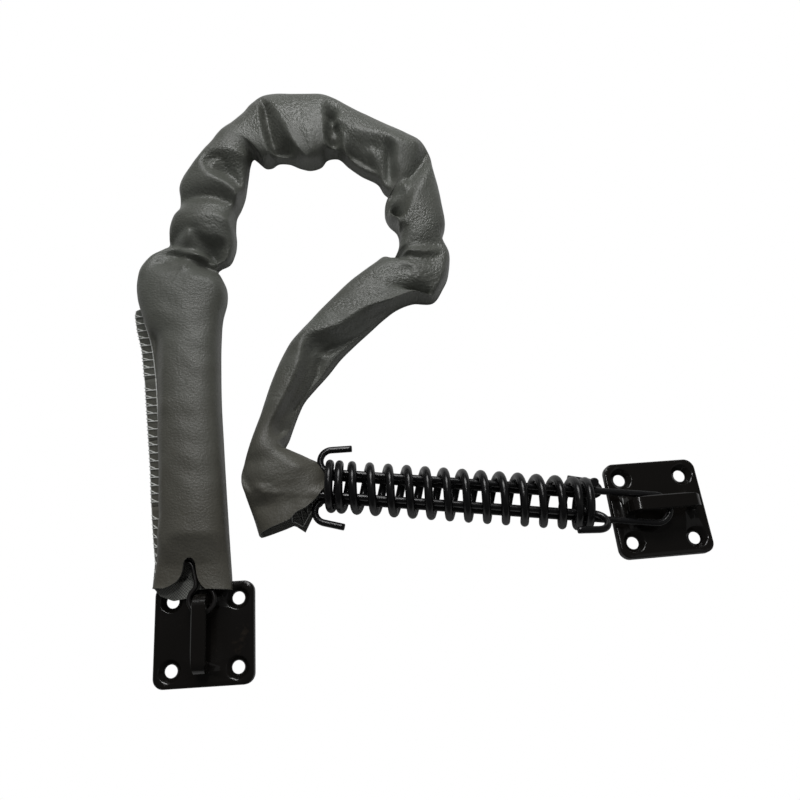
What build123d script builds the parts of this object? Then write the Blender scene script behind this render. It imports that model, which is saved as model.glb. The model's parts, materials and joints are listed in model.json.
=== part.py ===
from build123d import *
import os
from math import asin, cos, degrees, pi, radians, sin, sqrt

# Storm door chain, in millimetres. Z is up, the chain lies on the plane Z = 0.
# The origin is the centre of the door bracket's back face.

# Cast bracket: a square plate with a staple-like arch that holds the chain or the drawbar
plate_side = 38.1
plate_thickness = 2.8
plate_corner_radius = 4.1
plate_edge_chamfer = 0.5
screw_spacing = 25.4
screw_hole_diameter = 4.9
screw_sink_diameter = 9.2
screw_sink_angle = 90
arch_span = 28.8
arch_window_height = 7.4
arch_window_radius = 2.6
arch_leg_thickness = 4.0
strap_thickness = 2.4
strap_width = 5.6
foot_width = 4.2
shoulder_radius = 4.6
strap_edge_chamfer = 0.45

# Round wire and rod are drawn as bars with this many flats
bar_sides = 8

# Double loop chain link, bent from one wire
link_wire = 1.8
eye_bore = 8.0
eye_spacing = 19.5
eye_straights = 12
neck_gap = 0.1
neck_reach = 7.0
wire_end_gap = 0.3
link_play = 0.1

# Rest shape of the chain: the compass heading of every link, in degrees from +X
chain_height = 7.2
link_headings = (102, 93, 94, 94, 89, 83, 77, 47, 2, -23, -52, -78, -121, -145, -139, -111, -103)

# Drawbars: two like hairpins of round rod with hooked ends
drawbar_rod = 2.65
drawbar_leg_offset = 5.5
bracket_drawbar_length = 132.6
chain_drawbar_length = 130.6
hook_radius = 4.5
hook_flare = 8.0
hook_tail = 8.0
drawbar_height = 11.6
drawbar_heading = -7.6
chain_drawbar_roll = 40.0
# Distance of the chain drawbar's crown beyond the centre of the last link's eye
crown_seat = -0.3

# Compression spring with closed ends
spring_outer_diameter = 20.8
spring_wire = 3.3
spring_turns = 16.1
spring_start_angle = -20.0
closed_pitch = 3.75
open_pitch = 7.25
closed_turns = 1.1
ramp_turns = 1.5
hook_seat = 0.7
first_coil_from_crown = 27.5

# Jamb bracket, tipped by the drawbar that runs under its arch
jamb_leg_from_crown = 145.9
jamb_leg_sideways = -0.5
jamb_turn = 1.8
jamb_tip = 5.2
jamb_roll = -4.8

# Vinyl sleeve, a sewn tube lying flattened over the chain. Its reach to the outer and to the inner side
# of the chain's loop is given at the middle of each link and at each bend between links.
sleeve_wall = 1.0
sleeve_outer = (
    17.0, 12.5, 11.0, 11.0, 11.0, 11.0, 11.0, 12.5, 17.0, 20.0, 16.0, 12.0, 10.5, 11.5, 13.0, 13.5, 23.0,
    22.0, 20.0, 17.0, 22.0, 15.5, 13.5, 10.0, 17.5, 9.5, 8.0, 9.5, 10.0, 11.5, 8.0, 8.0, 11.0,
)
sleeve_inner = (
    13.5, 15.5, 15.0, 15.0, 15.0, 15.0, 16.0, 17.0, 17.5, 18.5, 17.5, 18.0, 16.0, 17.5, 10.0, 17.0, 13.5,
    17.5, 8.5, 11.0, 9.0, 9.0, 12.0, 10.0, 9.0, 15.5, 14.5, 12.5, 11.0, 8.5, 8.5, 8.5, 8.0,
)
# Edges of the mouth on the door bracket, and of the last folds over the drawbar's crown: outer, inner
sleeve_mouth = ((-19.2, 17.7), (11.4, 16.0))
sleeve_end = (
    ((37.5, 66.8), (14.4, 60.5)), ((41.0, 64.6), (14.6, 50.5)), ((43.4, 60.8), (22.0, 34.9)),
)
sleeve_top = 14.6
sleeve_end_top = 18.4
sleeve_bottom = 0.4
sleeve_flat = 0.5
sleeve_shoulder_drop = 5.0
sleeve_rest_gap = 0.3

link_wire_radius = link_wire / 2
eye_radius = (eye_bore + link_wire) / 2
arch_height = plate_thickness + arch_window_height + strap_thickness
arch_leg_centre = (arch_span - arch_leg_thickness) / 2
rod_radius = drawbar_rod / 2
coil_radius = (spring_outer_diameter - spring_wire) / 2


def heading_vector(degrees_from_x, climb=0.0):
    flat = cos(radians(climb))
    return Vector(
        flat * cos(radians(degrees_from_x)), flat * sin(radians(degrees_from_x)), sin(radians(climb))
    )


def make_bracket():
    """Plate on its back face at Z = 0, with the arch along X."""
    plate = Box(plate_side, plate_side, plate_thickness, align=(Align.CENTER, Align.CENTER, Align.MIN))
    plate = fillet(plate.edges().filter_by(Axis.Z), plate_corner_radius)
    plate = chamfer(plate.faces().sort_by(Axis.Z)[-1].edges(), plate_edge_chamfer)
    for spot in GridLocations(screw_spacing, screw_spacing, 2, 2):
        drill = CounterSinkHole(
            screw_hole_diameter / 2, screw_sink_diameter / 2, plate_thickness, screw_sink_angle
        )
        plate -= spot * Pos(0, 0, plate_thickness) * drill

    # Side view of the arch: an outer shape with round shoulders, less the window
    outer = Rectangle(arch_span, arch_height, align=(Align.CENTER, Align.MIN))
    outer = fillet(outer.vertices().group_by(Axis.Y)[-1], shoulder_radius)
    window_width = arch_span - 2 * arch_leg_thickness
    window = Rectangle(window_width, arch_height - strap_thickness, align=(Align.CENTER, Align.MIN))
    window = fillet(window.vertices().group_by(Axis.Y)[-1], arch_window_radius)
    arch = extrude(Plane.XZ * (outer - window), strap_width / 2, both=True)
    arch = chamfer(arch.faces().filter_by(Axis.Y).edges(), strap_edge_chamfer)

    # Seen from above the strap narrows to its feet
    half = arch_span / 2
    with BuildSketch() as plan:
        with BuildLine():
            top = ThreePointArc((-half, foot_width / 2), (0, strap_width / 2 + 0.15), (half, foot_width / 2))
            Line(top @ 1, (half, -foot_width / 2))
            middle = (0, -strap_width / 2 - 0.15)
            low = ThreePointArc((half, -foot_width / 2), middle, (-half, -foot_width / 2))
            Line(low @ 1, top @ 0)
        make_face()
    arch = arch & extrude(plan.sketch, arch_height)
    arch = arch & Pos(0, 0, plate_thickness / 2) * Box(
        plate_side, plate_side, arch_height, align=(Align.CENTER, Align.CENTER, Align.MIN)
    )
    return plate + arch


def make_link():
    """Link lying flat in XY along X, centred on the origin: an eye at each end of a two-strand neck.

    The wire is one bar with its ends meeting in the neck. Its eyes are rings of short straights.
    """
    strand = link_wire_radius + neck_gap / 2
    half = eye_spacing / 2
    corner_radius = eye_radius / cos(pi / eye_straights)
    step = 2 * pi / eye_straights
    angles = [(i + 0.5) * step for i in range(-eye_straights // 2 + 1, eye_straights // 2 - 1)]
    eye = [(half + corner_radius * cos(a), corner_radius * sin(a)) for a in angles]
    neck_end = half - neck_reach
    points = [(wire_end_gap / 2, -strand), (neck_end, -strand)]
    points += eye
    points += [(neck_end, strand), (-neck_end, strand)]
    points += [(-x, -y) for x, y in eye]
    points += [(-neck_end, -strand), (-wire_end_gap / 2, -strand)]
    wire = Polyline(*points)
    section = Plane(origin=wire @ 0, z_dir=wire % 0) * RegularPolygon(link_wire_radius, bar_sides)
    return sweep(section, path=wire, transition=Transition.RIGHT)


def chain_layout():
    """Centre, heading and climb of each link, and the pivots between them.

    Odd links lie flat and even links stand on edge. Every pivot is the centre of a standing link's
    crown wire, the first is the arch's leg and the last is the crown of the chain drawbar.
    """
    places = []
    pivots = [Vector(0, arch_leg_centre, chain_height)]
    seat = eye_bore / 2 - link_wire_radius - link_play
    for index, heading in enumerate(link_headings):
        first = index == 0
        last = index == len(link_headings) - 1
        standing = index % 2 == 1
        to_centre = eye_spacing / 2 + (eye_radius if standing else (0 if first else seat))
        if standing:
            length = eye_spacing + 2 * eye_radius
        elif last:
            length = seat + eye_spacing + crown_seat
        else:
            length = eye_spacing + seat + (0 if first else seat)
        climb = degrees(asin((drawbar_height - chain_height) / length)) if last else 0
        step = heading_vector(heading, climb)
        places.append((pivots[-1] + step * to_centre, step, standing))
        pivots.append(pivots[-1] + step * length)
    return places, pivots


def make_drawbar(length):
    """Hairpin in XY with the crown's wire centre at the origin and the legs along +X."""
    offset = drawbar_leg_offset
    turn = radians(180 - hook_flare)
    end = Vector(
        length + hook_radius * sin(turn), offset + hook_radius - hook_radius * cos(turn)
    )
    middle = Vector(
        length + hook_radius * sin(turn / 2), offset + hook_radius - hook_radius * cos(turn / 2)
    )
    tip = Vector(end.X + hook_tail * cos(turn), end.Y + hook_tail * sin(turn))
    with BuildLine() as wire:
        Line((tip.X, tip.Y), (end.X, end.Y))
        ThreePointArc((end.X, end.Y), (middle.X, middle.Y), (length, offset))
        Line((length, offset), (offset, offset))
        ThreePointArc((offset, offset), (0, 0), (offset, -offset))
        Line((offset, -offset), (length, -offset))
        ThreePointArc((length, -offset), (middle.X, -middle.Y), (end.X, -end.Y))
        Line((end.X, -end.Y), (tip.X, -tip.Y))
    section = Plane(origin=wire.line @ 0, z_dir=wire.line % 0) * RegularPolygon(rod_radius, bar_sides)
    return sweep(section, path=wire.line)


def spring_advance(turns):
    """Distance along the spring's axis after a number of turns: closed ends, open middle."""
    def gained(t):
        shut = min(t, closed_turns) * closed_pitch
        ramp = min(max(t - closed_turns, 0), ramp_turns)
        rising = ramp * closed_pitch + ramp**2 / (2 * ramp_turns) * (open_pitch - closed_pitch)
        free = max(t - closed_turns - ramp_turns, 0) * open_pitch
        return shut + rising + free

    half = spring_turns / 2
    if turns <= half:
        return gained(turns)
    return 2 * gained(half) - gained(spring_turns - turns)


def spring_point(turns):
    angle = radians(spring_start_angle) + 2 * pi * turns
    return Vector(coil_radius * cos(angle), coil_radius * sin(angle), spring_advance(turns))


def spring_tangent(turns):
    step = 1e-4
    return (spring_point(turns + step) - spring_point(turns - step)).normalized()


def biarc(start, start_dir, finish, finish_dir):
    """Two arcs that join smoothly, from one point and direction to the next."""
    chord = finish - start
    both = start_dir + finish_dir
    a = 2 * (1 - start_dir.dot(finish_dir))
    b = 2 * chord.dot(both)
    reach = (-b + sqrt(b * b + 4 * a * chord.dot(chord))) / (2 * a)
    first_corner = start + start_dir * reach
    second_corner = finish - finish_dir * reach
    join = (first_corner + second_corner) * 0.5
    return [
        Edge.make_tangent_arc(start, start_dir, join),
        Edge.make_tangent_arc(join, second_corner - first_corner, finish),
    ]


def make_spring():
    """Right-handed coil about +Z that starts at Z = 0, swept on biarcs of half a turn."""
    halves = int(round(spring_turns * 2))
    edges = []
    for i in range(halves):
        here = spring_turns * i / halves
        there = spring_turns * (i + 1) / halves
        edges += biarc(
            spring_point(here), spring_tangent(here), spring_point(there), spring_tangent(there)
        )
    path = Wire(edges)
    start = Plane(origin=spring_point(0), z_dir=spring_tangent(0))
    return sweep(start * RegularPolygon(spring_wire / 2, bar_sides), path=path)


def spring_gap():
    """Least gap between neighbouring turns, measured on points of the centre line."""
    count = 24
    points = [spring_point(i / count) for i in range(int(spring_turns * count) + 1)]
    least = 1e9
    for i, here in enumerate(points):
        for there in points[i + count // 2:]:
            least = min(least, (there - here).length)
    return least - spring_wire


def sleeve_sections(pivots):
    """Lines across the sleeve from its outer to its inner edge, each with the height of its top."""
    spots = []
    for here, there in zip(pivots, pivots[1:]):
        spots += [here, (here + there) * 0.5]
    spots = [Vector(spot.X, spot.Y, 0) for spot in spots]
    lines = [(Vector(*sleeve_mouth[0]), Vector(*sleeve_mouth[1]), sleeve_top)]
    for before, spot, after, outer, inner in zip(
        spots, spots[1:], spots[2:] + [Vector(pivots[-1].X, pivots[-1].Y, 0)], sleeve_outer, sleeve_inner
    ):
        travel = (spot - before).normalized() + (after - spot).normalized()
        left = Vector(-travel.Y, travel.X, 0).normalized()
        lines.append((spot + left * outer, spot - left * inner, sleeve_top))
    last = lines.pop()
    lines.append((last[0], last[1], (sleeve_top + sleeve_end_top) / 2))
    lines += [(Vector(*outer), Vector(*inner), sleeve_end_top) for outer, inner in sleeve_end]
    return lines


def sleeve_outline(outer, inner, top, shrink):
    """Octagon standing on one of those lines, made smaller all round by shrink."""
    middle = (outer + inner) * 0.5
    half = (inner - outer) * 0.5
    width = half.length
    side = half.normalized()
    edge = width - shrink
    flat = width * sleeve_flat - shrink * 0.4
    low, high = sleeve_bottom + shrink, top - shrink
    belly = top * 0.26 + shrink * 0.4
    shoulder = top - sleeve_shoulder_drop - shrink * 0.4
    corners = [
        (-edge, belly), (-edge, shoulder), (-flat, high), (flat, high),
        (edge, shoulder), (edge, belly), (flat, low), (-flat, low),
    ]
    return [middle + side * across + Vector(0, 0, height) for across, height in corners]


def flat_faces(a, b, c, d):
    """One face on four corners, or two where they aren't in one plane."""
    if abs((b - a).cross(c - a).dot(d - a)) < 1e-6 * (c - a).length**3:
        return [Face(Wire.make_polygon([a, b, c, d]))]
    return [Face(Wire.make_polygon([a, b, c])), Face(Wire.make_polygon([a, c, d]))]


def make_sleeve(pivots):
    """Flattened tube of sewn vinyl that follows the chain in flat facets."""
    lines = sleeve_sections(pivots)
    skins = [[sleeve_outline(*line, shrink) for line in lines] for shrink in (0, sleeve_wall)]
    sides = range(-1, 7)
    faces = []
    for skin in skins:
        for here, there in zip(skin, skin[1:]):
            for i in sides:
                faces += flat_faces(here[i], there[i], there[i + 1], here[i + 1])
    for end in (0, -1):
        outer, inner = skins[0][end], skins[1][end]
        for i in sides:
            faces += flat_faces(outer[i], inner[i], inner[i + 1], outer[i + 1])
    sleeve = Solid(Shell(faces))
    # The lower layer ends at the plate's edge, where the mouth climbs on the plate
    step = Box(
        2 * plate_side, plate_side / 2 + sleeve_rest_gap, plate_thickness + sleeve_rest_gap,
        align=(Align.CENTER, Align.MIN, Align.MIN),
    )
    return sleeve - step


places, pivots = chain_layout()
crown = pivots[-1]
axis_dir = heading_vector(drawbar_heading)
level_side = Vector(-axis_dir.Y, axis_dir.X, 0)
roll = radians(chain_drawbar_roll)
rolled_side = level_side * cos(roll) - Vector(0, 0, 1) * sin(roll)

nodes = {}
bracket = make_bracket()
nodes["door_bracket"] = Rot(0, 0, 90) * bracket

link = make_link()
for index, (centre, direction, standing) in enumerate(places):
    side = Vector(0, 0, 1).cross(direction).normalized()
    face_dir = side if standing else direction.cross(side)
    frame = Plane(origin=centre, x_dir=direction, z_dir=face_dir)
    nodes[f"chain_link_{index + 1:02d}"] = frame.location * link

chain_frame = Plane(origin=crown, x_dir=axis_dir, z_dir=axis_dir.cross(rolled_side))
nodes["chain_drawbar"] = chain_frame.location * make_drawbar(chain_drawbar_length)
spring_start = crown + axis_dir * first_coil_from_crown
far_crown = spring_start + axis_dir * (hook_seat + bracket_drawbar_length)
jamb_frame = Plane(origin=far_crown, x_dir=axis_dir * -1, z_dir=(0, 0, 1))
nodes["bracket_drawbar"] = jamb_frame.location * make_drawbar(bracket_drawbar_length)

spring_frame = Plane(origin=spring_start, x_dir=level_side, z_dir=axis_dir)
nodes["compression_spring"] = spring_frame.location * make_spring()

tilt = Rot(0, 0, jamb_turn) * Rot(0, jamb_tip, 0) * Rot(jamb_roll, 0, 0)
leg_point = crown + axis_dir * jamb_leg_from_crown + level_side * jamb_leg_sideways
leg_offset = (tilt * Pos(-arch_leg_centre, 0, 0)).position
corners = [(sx * plate_side / 2, sy * plate_side / 2, 0) for sx in (-1, 1) for sy in (-1, 1)]
plate_low = min((tilt * Pos(*spot)).position.Z for spot in corners)
jamb_centre = Vector(leg_point.X - leg_offset.X, leg_point.Y - leg_offset.Y, -plate_low)
nodes["jamb_bracket"] = Pos(jamb_centre) * tilt * bracket

nodes["chain_sleeve"] = make_sleeve(pivots)

if __name__ == "__main__":
    os.makedirs("parts", exist_ok=True)
    for name, shape in nodes.items():
        export_step(shape, f"parts/{name}.step")
        print(name, round(shape.volume, 1), len(shape.solids()))
    print("crown", crown, "jamb centre", jamb_centre)
    print("spring gap", round(spring_gap(), 2), "length", round(spring_advance(spring_turns), 1))
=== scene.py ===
import json
import math
import bmesh
import bpy
import numpy as np
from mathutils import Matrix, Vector


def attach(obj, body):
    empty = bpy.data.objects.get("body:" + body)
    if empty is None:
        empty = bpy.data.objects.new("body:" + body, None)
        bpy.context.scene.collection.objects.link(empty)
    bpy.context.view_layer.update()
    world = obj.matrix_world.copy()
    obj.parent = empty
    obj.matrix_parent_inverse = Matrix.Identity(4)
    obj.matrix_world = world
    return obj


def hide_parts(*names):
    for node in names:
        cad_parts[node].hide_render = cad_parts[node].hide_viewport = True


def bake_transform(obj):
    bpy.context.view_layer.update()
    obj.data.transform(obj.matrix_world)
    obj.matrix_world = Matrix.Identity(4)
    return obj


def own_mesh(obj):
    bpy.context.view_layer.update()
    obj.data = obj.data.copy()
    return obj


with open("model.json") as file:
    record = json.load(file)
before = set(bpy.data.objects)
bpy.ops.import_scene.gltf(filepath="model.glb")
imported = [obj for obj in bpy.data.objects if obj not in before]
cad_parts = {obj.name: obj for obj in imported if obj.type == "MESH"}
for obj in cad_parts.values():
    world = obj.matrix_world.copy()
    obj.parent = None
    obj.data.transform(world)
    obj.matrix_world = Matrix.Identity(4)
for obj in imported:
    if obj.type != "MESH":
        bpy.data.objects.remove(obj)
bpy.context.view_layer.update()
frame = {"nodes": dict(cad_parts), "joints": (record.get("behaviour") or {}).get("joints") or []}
mm = 0.001
linkCount = 17
upAxis = np.array([0.0, 0.0, 1.0])
print("frame loaded")

# where the chain turns: at the arch's leg, at sixteen bends between links and at the crown of the chain's drawbar
hinges = [j for j in frame["joints"] if j["type"] == "hinge"]
slideJoint = [j for j in frame["joints"] if j["type"] == "slide"][0]
pivots = np.array([j["pos_m"] for j in hinges[:linkCount + 1]])
crownPivot = pivots[linkCount]
jambHinge = hinges[linkCount + 1]
springAxis = np.array(slideJoint["axis"], float)
springSide = np.array([-springAxis[1], springAxis[0], 0.0])


# Meshes

def numbered(index):
    # pieces and bodies are numbered from 01
    return f"{index + 1:02d}"


def unit(v):
    # each vector over its length
    return v / np.maximum(np.linalg.norm(v, axis=-1, keepdims=True), 1e-12)


def smoothStep(t):
    # 3 t^2 - 2 t^3 from 0 to 1, and flat outside
    t = np.clip(t, 0.0, 1.0)
    return t * t * (3 - 2 * t)


def gridQuads(rows, cols, closedRows=False):
    # quad (i, j), (i, j+1), (i+1, j+1), (i+1, j), wrapping round across, and along too where the rows are closed
    i = np.arange(rows if closedRows else rows - 1)[:, None]
    j = np.arange(cols)[None, :]
    nextI, nextJ = (i + 1) % rows, (j + 1) % cols
    return np.stack([i * cols + j, i * cols + nextJ, nextI * cols + nextJ, nextI * cols + j], -1).reshape(-1, 4)


def tubeFaces(rows, sides, closed=False):
    # the wall's quads, and one face over each end of an open tube
    faces = gridQuads(rows, sides, closed).tolist()
    if not closed:
        end = (rows - 1) * sides
        faces += [list(range(sides))[::-1], list(range(end, end + sides))]
    return faces


def makePiece(name, points, faces, materials, faceSlots=None, uv=None):
    mesh = bpy.data.meshes.new(name)
    mesh.from_pydata(np.asarray(points).tolist(), [], [list(f) for f in faces])
    for m in materials:
        mesh.materials.append(m)
    mesh.polygons.foreach_set("use_smooth", np.ones(len(mesh.polygons), bool))
    if faceSlots is not None:
        mesh.polygons.foreach_set("material_index", np.asarray(faceSlots, np.int32))
    if uv is not None:
        corner = np.zeros(len(mesh.loops), np.int32)
        mesh.loops.foreach_get("vertex_index", corner)
        layer = mesh.uv_layers.new(name="surface")
        layer.data.foreach_set("uv", np.asarray(uv, float)[corner].astype(np.float32).ravel())
    mesh.update()
    piece = bpy.data.objects.new(name, mesh)
    bpy.context.scene.collection.objects.link(piece)
    return piece


def edgeEnds(piece):
    # the numbers of the two vertices of every edge
    ends = np.zeros(len(piece.data.edges) * 2, np.int32)
    piece.data.edges.foreach_get("vertices", ends)
    return ends.reshape(-1, 2)


def markSharp(piece, sharp):
    piece.data.attributes.new("sharp_edge", "BOOLEAN", "EDGE").data.foreach_set("value", sharp)


def tubeGrid(path, normal, radius, sides, closed=False):
    # ring point = path + radius * (cos(a) * n + sin(a) * b), with b square to the path and to n
    path = np.asarray(path, float)
    if closed:
        tangent = unit(np.roll(path, -1, 0) - np.roll(path, 1, 0))
    else:
        tangent = unit(np.gradient(path, axis=0))
    n = np.broadcast_to(np.asarray(normal, float), path.shape)
    n = unit(n - (n * tangent).sum(-1, keepdims=True) * tangent)
    b = np.cross(tangent, n)
    a = np.arange(sides) * 2 * np.pi / sides
    r = np.broadcast_to(np.asarray(radius, float), len(path))[:, None, None]
    return path[:, None] + r * (np.cos(a)[None, :, None] * n[:, None] + np.sin(a)[None, :, None] * b[:, None])


# the bevel of a sheared wire's end, as shares of the wire's radius
wireEnd = dict(reach=0.16, narrow=0.8)


def tubePiece(name, path, normal, radius, sides, material, closed=False):
    # a tube along the path; an open one gets a small bevel and a flat face at each end
    path = np.asarray(path, float)
    radii = np.full(len(path), radius)
    if not closed:
        first, last = unit(path[0] - path[1]), unit(path[-1] - path[-2])
        reach, narrow = radius * wireEnd["reach"], radius * wireEnd["narrow"]
        path = np.concatenate([[path[0] + first * reach], path, [path[-1] + last * reach]])
        radii = np.concatenate([[narrow], radii, [narrow]])
        if np.ndim(normal) == 2:
            normal = np.concatenate([normal[:1], normal, normal[-1:]])
    grid = tubeGrid(path, normal, radii, sides, closed)
    piece = makePiece(name, grid.reshape(-1, 3), tubeFaces(len(path), sides, closed), [material])
    if not closed:
        ends = edgeEnds(piece)
        markSharp(piece, (ends < sides).all(1) | (ends >= (len(path) - 1) * sides).all(1))
    return piece


def arcPoints(centre, radius, startDeg, endDeg, count):
    # centre + radius * (cos(a), sin(a)), with a in even steps
    a = np.radians(np.linspace(startDeg, endDeg, count))
    return np.stack([centre[0] + radius * np.cos(a), centre[1] + radius * np.sin(a)], -1)


# Shader maths

class Num:
    # wraps a socket, so that sums of values write their own Math nodes
    def __init__(self, finish, socket):
        self.finish, self.socket = finish, socket

    def __add__(self, other):
        return self.finish.maths("ADD", self, other)

    def __radd__(self, other):
        return self.finish.maths("ADD", other, self)

    def __sub__(self, other):
        return self.finish.maths("SUBTRACT", self, other)

    def __rsub__(self, other):
        return self.finish.maths("SUBTRACT", other, self)

    def __mul__(self, other):
        return self.finish.maths("MULTIPLY", self, other)

    def __rmul__(self, other):
        return self.finish.maths("MULTIPLY", other, self)


class Finish:
    def __init__(self, name):
        self.material = bpy.data.materials.new(name)
        self.material.use_nodes = True
        self.tree = self.material.node_tree
        self.shader = self.tree.nodes["Principled BSDF"]

    def put(self, socket, value):
        if isinstance(value, Num):
            value = value.socket
        if isinstance(value, bpy.types.NodeSocket):
            self.tree.links.new(value, socket)
        else:
            socket.default_value = value

    def node(self, kind, settings, sockets, output=0):
        # settings first, because some of them change the sockets
        made = self.tree.nodes.new(kind)
        for key, value in settings.items():
            setattr(made, key, value)
        for key, value in sockets.items():
            self.put(made.inputs[key], value)
        return Num(self, made.outputs[output])

    def maths(self, operation, a, b=0.0):
        return self.node("ShaderNodeMath", {"operation": operation}, {0: a, 1: b})

    def mix(self, factor, a, b):
        return self.node("ShaderNodeMix", {"data_type": "RGBA"}, {0: factor, 6: a, 7: b}, 2)

    def noise(self, coords, scale, detail=2.0, roughness=0.5):
        sockets = {"Vector": coords, "Scale": scale, "Detail": detail, "Roughness": roughness}
        return self.node("ShaderNodeTexNoise", {}, sockets)

    def cells(self, feature, coords, scale, **more):
        return self.node("ShaderNodeTexVoronoi", {"feature": feature}, {"Vector": coords, "Scale": scale, **more})

    def ramp(self, value, low, high):
        # 0 below low, 1 above high, straight between
        return self.node("ShaderNodeMapRange", {"clamp": True}, {0: value, 1: low, 2: high})

    def uv(self):
        return self.node("ShaderNodeUVMap", {"uv_map": "surface"}, {})

    def axis(self, vector, number):
        return self.node("ShaderNodeSeparateXYZ", {}, {0: vector}, number)

    def objectCoords(self):
        return self.node("ShaderNodeTexCoord", {}, {}, "Object")

    def bump(self, height, strength, distance):
        return self.node("ShaderNodeBump", {}, {"Height": height, "Strength": strength, "Distance": distance})

    def set(self, **sockets):
        for key, value in sockets.items():
            self.put(self.shader.inputs[key], value)
        return self.material


def rgb(r, g, b):
    # 0 to 255 as seen on a screen, to the linear colour a shader takes
    c = np.array([r, g, b]) / 255
    return tuple(np.where(c <= 0.04045, c / 12.92, ((c + 0.055) / 1.055) ** 2.4)) + (1.0,)


# Finishes

# Scales are per mm. The pairs in mm are where a change along the sleeve starts and ends.
# The tone for creases is painted shade, laid along the fine crease lines.
vinylLook = dict(
    shade=(93, 95, 89), dark=(79, 80, 73), light=(107, 110, 104), aged=(88, 82, 71), creased=(70, 71, 67),
    clouds=0.055, evenness=0.55, ageing=0.55, agedMouth=(10, 130), agedEnd=(400, 480), creasing=0.06,
    grain=1.2, fineGrain=2.4, crackle=0.42, crackWidth=0.09, patches=0.06, grainyFrom=(120, 175), grainyTo=(395, 440),
    fineRise=0.5, cellRise=0.5, patchRise=0.8, crackRise=0.08, relief=0.00024, strength=0.85,
    gloss=0.42, glossClouds=0.3, dulling=0.12, fineShine=0.08, patchShine=0.1, specular=0.5)


def vinylFinish():
    look = vinylLook
    f = Finish("greyVinyl")
    uv = f.uv()
    along = f.axis(uv, 1)
    clouds = f.ramp(f.noise(uv, look["clouds"], 3), 0.35, 0.65)
    tone = f.mix(clouds, rgb(*look["dark"]), rgb(*look["light"]))
    tone = f.mix(look["evenness"], tone, rgb(*look["shade"]))
    # browner towards both ends of the sleeve
    aged = (1 - f.ramp(along, *look["agedMouth"])) + f.ramp(along, *look["agedEnd"])
    tone = f.mix(aged * look["ageing"], tone, rgb(*look["aged"]))
    # pebbled grain: rounded cells with narrow valleys between them, and a finer second size
    cells = f.cells("SMOOTH_F1", uv, look["grain"], Smoothness=0.5)
    fine = f.noise(uv, look["fineGrain"], 4, 0.6)
    crease = 1 - f.ramp(f.cells("DISTANCE_TO_EDGE", uv, look["crackle"]), 0.0, look["crackWidth"])
    # the grain stands out in patches of the arch, and lies flat on the leg
    patches = f.ramp(f.noise(uv, look["patches"], 2), 0.4, 0.58)
    grainy = f.ramp(along, *look["grainyFrom"]) * (1 - f.ramp(along, *look["grainyTo"])) * patches
    height = fine * look["fineRise"] - cells * (look["cellRise"] + grainy * look["patchRise"])
    height = height - crease * look["crackRise"]
    rough = look["gloss"] + f.noise(uv, look["glossClouds"], 2) * look["dulling"]
    rough = rough - fine * look["fineShine"] - grainy * look["patchShine"]
    # painted shade: the tone is darker along the fine crease lines, where shade would fall into the vinyl
    tone = f.mix(crease * look["creasing"], tone, rgb(*look["creased"]))
    return f.set(**{"Base Color": tone, "Roughness": rough, "Specular IOR Level": look["specular"],
                    "Normal": f.bump(height, look["strength"], look["relief"])})


backingLook = dict(warp=(150, 151, 146), weft=(92, 93, 90), threads=2.6, gloss=0.9, relief=0.0002, strength=0.7)


def backingFinish():
    # plain weave: two waves at right angles, one times the other
    look = backingLook
    f = Finish("wovenBacking")
    uv = f.uv()
    across, along = [f.maths("SINE", f.axis(uv, number) * (look["threads"] * math.pi)) for number in (0, 1)]
    weave = across * along
    tone = f.mix(f.ramp(weave, -0.6, 0.6), rgb(*look["weft"]), rgb(*look["warp"]))
    return f.set(**{"Base Color": tone, "Roughness": look["gloss"],
                    "Normal": f.bump(weave, look["strength"], look["relief"])})


threadLook = dict(dark=(200, 202, 198), light=(240, 242, 238), fibres=1800.0, gloss=0.75, relief=0.0001, strength=0.4)


def threadFinish():
    look = threadLook
    f = Finish("seamThread")
    fibre = f.noise(f.objectCoords(), look["fibres"], 2)
    tone = f.mix(f.ramp(fibre, 0.3, 0.7), rgb(*look["dark"]), rgb(*look["light"]))
    return f.set(**{"Base Color": tone, "Roughness": look["gloss"],
                    "Normal": f.bump(fibre, look["strength"], look["relief"])})


blackLooks = dict(
    springBlack=dict(tone=(20, 20, 21), worn=(48, 47, 46), gloss=0.2, peel=500.0),
    rodBlack=dict(tone=(20, 20, 21), worn=(48, 47, 46), gloss=0.18, peel=500.0),
    linkBlack=dict(tone=(30, 28, 27), worn=(92, 80, 66), gloss=0.25, peel=700.0),
    # on the brackets, the second tone is a painted bronze highlight
    bracketBlack=dict(tone=(22, 20, 18), worn=(58, 47, 36), gloss=0.1, peel=300.0))
blackWearAndSheen = dict(spots=0.35, share=0.5, dulling=0.12, clouds=0.2, cloudDulling=0.14, relief=0.0002, strength=0.1)


def blackFinish(name):
    # thick glossy black with faint orange peel; where the noise is highest, a second tone that is a little wear, and on
    # the brackets a painted bronze highlight
    look, worn = blackLooks[name], blackWearAndSheen
    f = Finish(name)
    coords = f.objectCoords()
    peel = f.noise(coords, look["peel"], 3)
    wearAndSheenSpots = f.ramp(f.noise(coords, look["peel"] * worn["spots"], 5, 0.7), 0.62, 0.78)
    # painted bronze highlight in spots on the brackets, and a little wear on the other black parts
    colour = f.mix(wearAndSheenSpots * worn["share"], rgb(*look["tone"]), rgb(*look["worn"]))
    clouds = f.noise(coords, look["peel"] * worn["clouds"], 3)
    rough = look["gloss"] + clouds * worn["cloudDulling"] + wearAndSheenSpots * worn["dulling"]
    return f.set(**{"Base Color": colour, "Roughness": rough,
                    "Normal": f.bump(peel, worn["strength"], worn["relief"])})


vinyl = vinylFinish()
backing = backingFinish()
thread = threadFinish()
springBlack, rodBlack, linkBlack, bracketBlack = [blackFinish(name) for name in blackLooks]
print("finishes made")


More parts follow.
